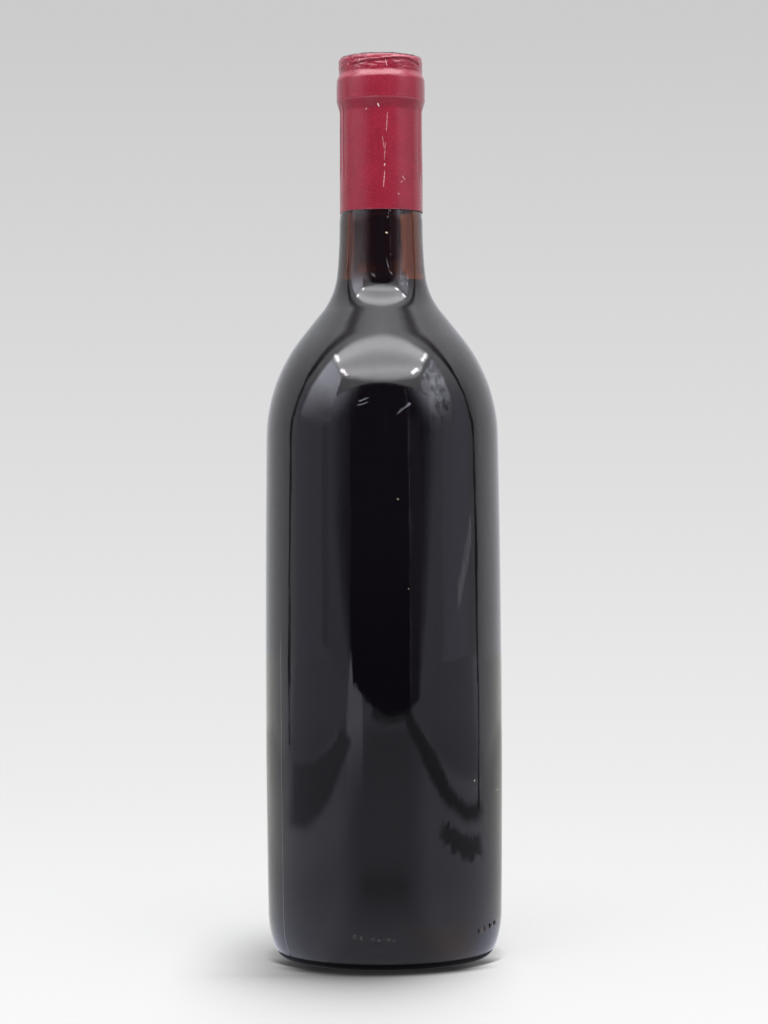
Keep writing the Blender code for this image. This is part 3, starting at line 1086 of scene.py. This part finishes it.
def makeFloor():
    deselectAll()
    bpy.ops.mesh.primitive_circle_add(
        vertices=96, radius=studio["floorReach"], fill_type="NGON", location=(0.0, 0.0, 0.0),
    )
    floor = bpy.context.object
    floor.name = "studioFloor"
    material, tree, output = bareMaterial("paleFloor")
    vector, x, y, z = objectAxes(tree)
    shade = contactShade(x, y)
    grey = studio["floorGrey"]
    grain = noiseField(vector, 700.0, 4.0)
    tone = blend(grain, *(tuple(grey * part for part in tint) for tint in studio["floorTints"]))
    paper = addNode(tree, "ShaderNodeBsdfPrincipled", {"Roughness": 0.6, "IOR": 1.3})
    feed(blend(1.0, tone, shade, "MULTIPLY"), paper.inputs["Base Color"])
    feed(times(shade, 0.5), paper.inputs["Specular IOR Level"])
    # for the camera the floor melts into the sweep behind it
    veil = addNode(tree, "ShaderNodeBsdfTransparent")
    feed(blend(shade, (0.0, 0.0, 0.0), (1.0, 1.0, 1.0)), veil.inputs["Color"])
    path = addNode(tree, "ShaderNodeLightPath")
    share = ramp(lengthOf(x, y), 0.08, 0.70, 1.0 - studio["floorShare"], 1.0)
    direct = path.outputs["Is Camera Ray"]
    melted = mixShaders(times(share, direct), paper.outputs["BSDF"], veil.outputs["BSDF"])
    table = addNode(tree, "ShaderNodeEmission")
    tableLevel, tableFront = mirroredTable(vector, x, y)
    feed(tableLevel, table.inputs["Strength"])
    tableTint = blend(tableFront, (1.0, 1.01, 0.98), (0.98, 1.0, 1.18))
    warm = times(fall(lengthOf(x, y), 0.055, 0.14), ramp(x, 0.005, 0.035))
    warm = times(warm, fall(y, -0.03, -0.015))
    feed(blend(warm, tableTint, (1.10, 0.97, 1.02)), table.inputs["Color"])
    indirect = calc("MAXIMUM", path.outputs["Is Glossy Ray"], path.outputs["Is Transmission Ray"])
    shown = mixShaders(times(indirect, restOf(direct)), melted, table.outputs["Emission"])
    feed(shown, output.inputs["Surface"])
    setMaterial(floor, material)


def mirroredOnly(card):
    card.visible_camera = False
    card.visible_diffuse = False
    card.visible_shadow = False


def makeCard(name, centre, size, turned, paint, colour):
    # a flat glowing card that is only seen mirrored; size is its width and depth before it is turned
    deselectAll()
    bpy.ops.mesh.primitive_plane_add(size=1.0, location=(0.0, 0.0, 0.0))
    card = bpy.context.object
    card.name = name
    card.scale = (size[0], size[1], 1.0)
    card.rotation_euler = tuple(math.radians(angle) for angle in turned)
    card.location = centre
    bpy.ops.object.transform_apply(location=True, rotation=True, scale=True)
    material, tree, output = bareMaterial(name + "Glow")
    strength, mask, *tints = paint(*objectAxes(tree))
    addGlow(output, mask, tints[0] if tints else colour, strength)
    setMaterial(card, material)
    mirroredOnly(card)
    return card


flagMarks = (
    (-0.39, 0.735, 0.13, 0.017, 80.0, 3.5), (-0.39, 0.668, 0.14, 0.015, 84.0, 3.0),
    (0.44, 0.600, 0.20, 0.013, 56.0, 3.2), (0.55, 0.670, 0.06, 0.022, 50.0, 3.4),
    (0.520, 0.480, 0.60, 0.014, 0.0, 0.40), (-0.635, 0.000, 0.050, 0.045, 0.0, 1.1),
    (0.07, 0.420, 0.22, 0.020, 0.0, 0.05),
)


def paintFlag(vector, x, y, z):
    # dark in the middle, paler to the sides; the pale sides start nearer the middle low down
    away = absolute(x)
    leftStart = calc("MINIMUM", scaleAdd(z, 2.6, 0.60), scaleAdd(z, -0.3, 1.07))
    rightStart = calc("MINIMUM", scaleAdd(z, 1.6, 0.74), scaleAdd(z, -0.45, 1.30))
    start = blendValue(ramp(x, -0.02, 0.02), leftStart, rightStart)
    width = calc("MINIMUM", scaleAdd(z, 1.6, 0.05), 0.40)
    share = over(plus(minus(away, start), width), times(width, 2.0))
    lowSide = blendValue(ramp(x, -0.02, 0.02), 0.40, 0.55)
    pale = plus(lowSide, ramp(z, 0.40, 1.15, 0.0, 1.50))
    pale = times(pale, ramp(share, 0.0, 1.0))
    core = ramp(z, 0.03, 0.17, 0.072, 0.104)
    strips = calc("MAXIMUM", window(x, 0.535, 0.82, 0.012), window(x, -1.5, -0.64, 0.014))
    strip = times(strips, ramp(z, 0.35, 0.60, 0.085, 0.0))
    level = plus(core, strip, pale)
    level = plus(level, useMarks(x, z, flagMarks))
    torn = noiseField(stretch(vector, (2.2, 1.0, 620.0)), 1.0, 5.0, 0.6)
    lift = plus(ramp(x, -0.60, 0.10, 0.0165, 0.0020), scaleAdd(torn, 0.026, -0.013))
    foot = ramp(minus(z, lift), -0.0015, 0.0010)
    top = fall(z, 0.995, 1.075)
    ends = fall(away, 1.75, 1.95)
    duskTint = blend(ramp(level, 0.10, 0.30), (1.13, 0.93, 1.42), (0.98, 0.98, 1.21))
    return level, times(foot, top, ends), duskTint


ceiling = {"z": 1.44, "front": 1.46, "left": -1.13, "right": 1.02, "back": -0.25}
# bright ends of the two lamp bars: centre, half length, half width, tilt from the y axis, strength
lampEnds = (
    (-1.02, -0.31, 0.17, 0.055, -4.0, 22.0), (0.96, -0.40, 0.16, 0.055, 4.0, 18.0),
    (-1.04, -0.86, 0.15, 0.045, -14.0, 20.0), (0.88, -0.93, 0.15, 0.070, 24.0, 22.0),
)


def paintCeiling(vector, x, y, z):
    # two bars of lamps behind a diffuser, in a panel with a rounded front
    square = calc("POWER", absolute(plus(x, 0.07)), 2.0)
    firstBar = hump(scaleAdd(square, -0.10, y), -0.490, 0.18)
    secondBar = hump(scaleAdd(square, -0.30, y), -1.15, 0.15)
    level = plus(times(firstBar, 2.7), times(secondBar, 2.0))
    level = plus(level, 5.2, useMarks(x, y, lampEnds))
    level = times(level, ramp(noiseField(vector, 26.0, 3.0, 0.6), 0.2, 0.8, 0.93, 1.07))
    reach = lengthOf(x, y)
    front = fall(reach, ceiling["front"] - 0.12, ceiling["front"] + 0.12)
    sides = window(x, ceiling["left"], ceiling["right"], 0.06)
    back = fall(y, ceiling["back"] - 0.10, ceiling["back"] + 0.06)
    return level, times(front, sides, back)


def paintLeftWall(vector, x, y, z):
    # a tall bright pane whose light fades downwards
    cloud = noiseField(stretch(vector, (1.0, 1.0, 0.5)), 3.5, 3.0, 0.5)
    height = scaleAdd(y, 0.3, z)
    level = times(ramp(height, 0.28, 1.10, 0.9, 4.6), ramp(cloud, 0.25, 0.70, 0.88, 1.08))
    lean = scaleAdd(z, 0.25, y)
    pane = times(ramp(y, -1.05, -0.97), fall(lean, 0.05, 0.13))
    return level, times(pane, ramp(z, 0.34, 0.52))


def paintRightWall(vector, x, y, z):
    cloud = noiseField(vector, 6.0, 5.0, 0.66)
    level = times(ramp(z, 0.42, 1.15, 0.85, 3.9), ramp(cloud, 0.38, 0.62, 0.45, 1.25))
    sides = times(ramp(y, -1.35, -0.80), fall(y, -0.33, -0.24))
    return level, times(ramp(z, 0.20, 0.70), sides)


def paintSmear(vector, x, y, z):
    mark = useMarks(y, z, ((-0.10, 0.117, 0.27, 0.016, 81.6, 1.0),))
    return 1.35, times(mark, ramp(noiseField(vector, 20.0), 0.35, 0.6, 0.5, 1.0))


hoop = {"radius": 1.40, "tilt": math.radians(13.7), "middleY": 0.319, "colour": (0.13, 0.125, 0.15)}


def makeHoop():
    # the dark frame of the light tent: an upright ring, broad and soft overhead
    deselectAll()
    bpy.ops.mesh.primitive_cylinder_add(
        vertices=128, radius=hoop["radius"], depth=0.5, end_fill_type="NOTHING",
        location=(0.0, 0.0, 0.0),
    )
    ring = bpy.context.object
    ring.name = "tentHoop"
    ring.rotation_euler = (math.radians(90.0) + hoop["tilt"], 0.0, 0.0)
    ring.location = (0.0, hoop["middleY"], 0.0)
    bpy.ops.object.transform_apply(location=True, rotation=True, scale=True)
    material, tree, output = bareMaterial("darkTube")
    vector, x, y, z = objectAxes(tree)
    lean = scaleAdd(z, math.tan(hoop["tilt"]), y)
    away = times(absolute(minus(lean, hoop["middleY"])), math.cos(hoop["tilt"]))
    half = ramp(z, 0.70, 1.32, 0.036, 0.080)
    soft = over(minus(away, half), times(half, ramp(z, 0.70, 1.25, 0.25, 0.95)))
    mask = fall(soft, -1.0, 1.0)
    mask = times(mask, ramp(z, 0.85, 1.30, 1.0, 0.75))
    addGlow(output, mask, hoop["colour"])
    setMaterial(ring, material)
    mirroredOnly(ring)
    ring.visible_transmission = False


def paintBackFlag(vector, x, y, z):
    # dark panel behind, seen only through the empty neck
    post = times(window(x, -0.470, -0.430, 0.008), 0.60)
    dim = calc("MAXIMUM", ramp(x, -0.62, -0.54, 0.24, 0.008), post)
    return dim, ramp(z, -0.1, -0.09)


def makeKeyLight():
    elevation, distance = math.radians(61.0), 1.5
    place = Vector((0.0, -distance * math.cos(elevation), 0.15 + distance * math.sin(elevation)))
    width, depth = 1.55, 1.03
    light = bpy.data.lights.new("topSoftbox", "AREA")
    light.shape = "RECTANGLE"
    light.size = width
    light.size_y = depth
    light.energy = studio["keyRadiance"] * math.pi * width * depth
    lamp = bpy.data.objects.new("topSoftbox", light)
    bpy.context.scene.collection.objects.link(lamp)
    lamp.location = place
    lamp.rotation_euler = (Vector((0.0, 0.0, 0.17)) - place).to_track_quat("-Z", "Y").to_euler()
    lamp.visible_camera = False
    lamp.visible_transmission = False
    lamp.visible_glossy = False


def makeCamera():
    camera = bpy.data.cameras.new("photoCamera")
    camera.lens = studio["lens"]
    camera.sensor_width = 36.0
    camera.clip_start = 0.01
    camera.clip_end = 20.0
    eye = bpy.data.objects.new("photoCamera", camera)
    bpy.context.scene.collection.objects.link(eye)
    eye.location = (studio["cameraX"], studio["cameraY"], studio["cameraZ"])
    eye.rotation_euler = (math.radians(90.0), math.radians(studio["roll"]), 0.0)
    bpy.context.scene.camera = eye


makeCamera()
print("camera set")
glass = makeGlass()
makeMouldDots(glass.data.materials[0])
makeSpecks()
print("glass turned")
makeWine()
print("wine filled")
makeCork()
print("cork seated")
makeCapsule()
print("capsule shrunk on")
makeWorld()
makeFloor()
coolGlow, whiteGlow, duskGlow = (0.97, 0.99, 1.14), (0.99, 1.0, 1.04), (1.02, 0.97, 1.24)
upright, sideways, level = (90.0, 0.0, 0.0), (0.0, 90.0, 0.0), (0.0, 0.0, 0.0)
makeCard("frontFlag", (0.0, -1.07, 0.58), (3.9, 1.16), upright, paintFlag, duskGlow)
makeCard("ceilingPanel", (-0.05, -0.85, ceiling["z"]), (2.5, 1.60), level, paintCeiling, whiteGlow)
makeCard("leftWall", (-1.25, -0.625, 0.875), (1.35, 1.15), sideways, paintLeftWall, coolGlow)
makeCard("rightWall", (1.25, -0.80, 0.875), (1.35, 1.2), sideways, paintRightWall, coolGlow)
makeCard("rightSmear", (1.24, -0.10, 0.115), (0.18, 0.60), sideways, paintSmear, coolGlow)
backFlag = makeCard("backFlag", (-0.64, 1.20, 0.6), (1.68, 1.4), upright, paintBackFlag, whiteGlow)
backFlag.visible_glossy = False
makeHoop()
makeKeyLight()
bpy.context.scene.view_settings.view_transform = "Standard"
print("studio lit")
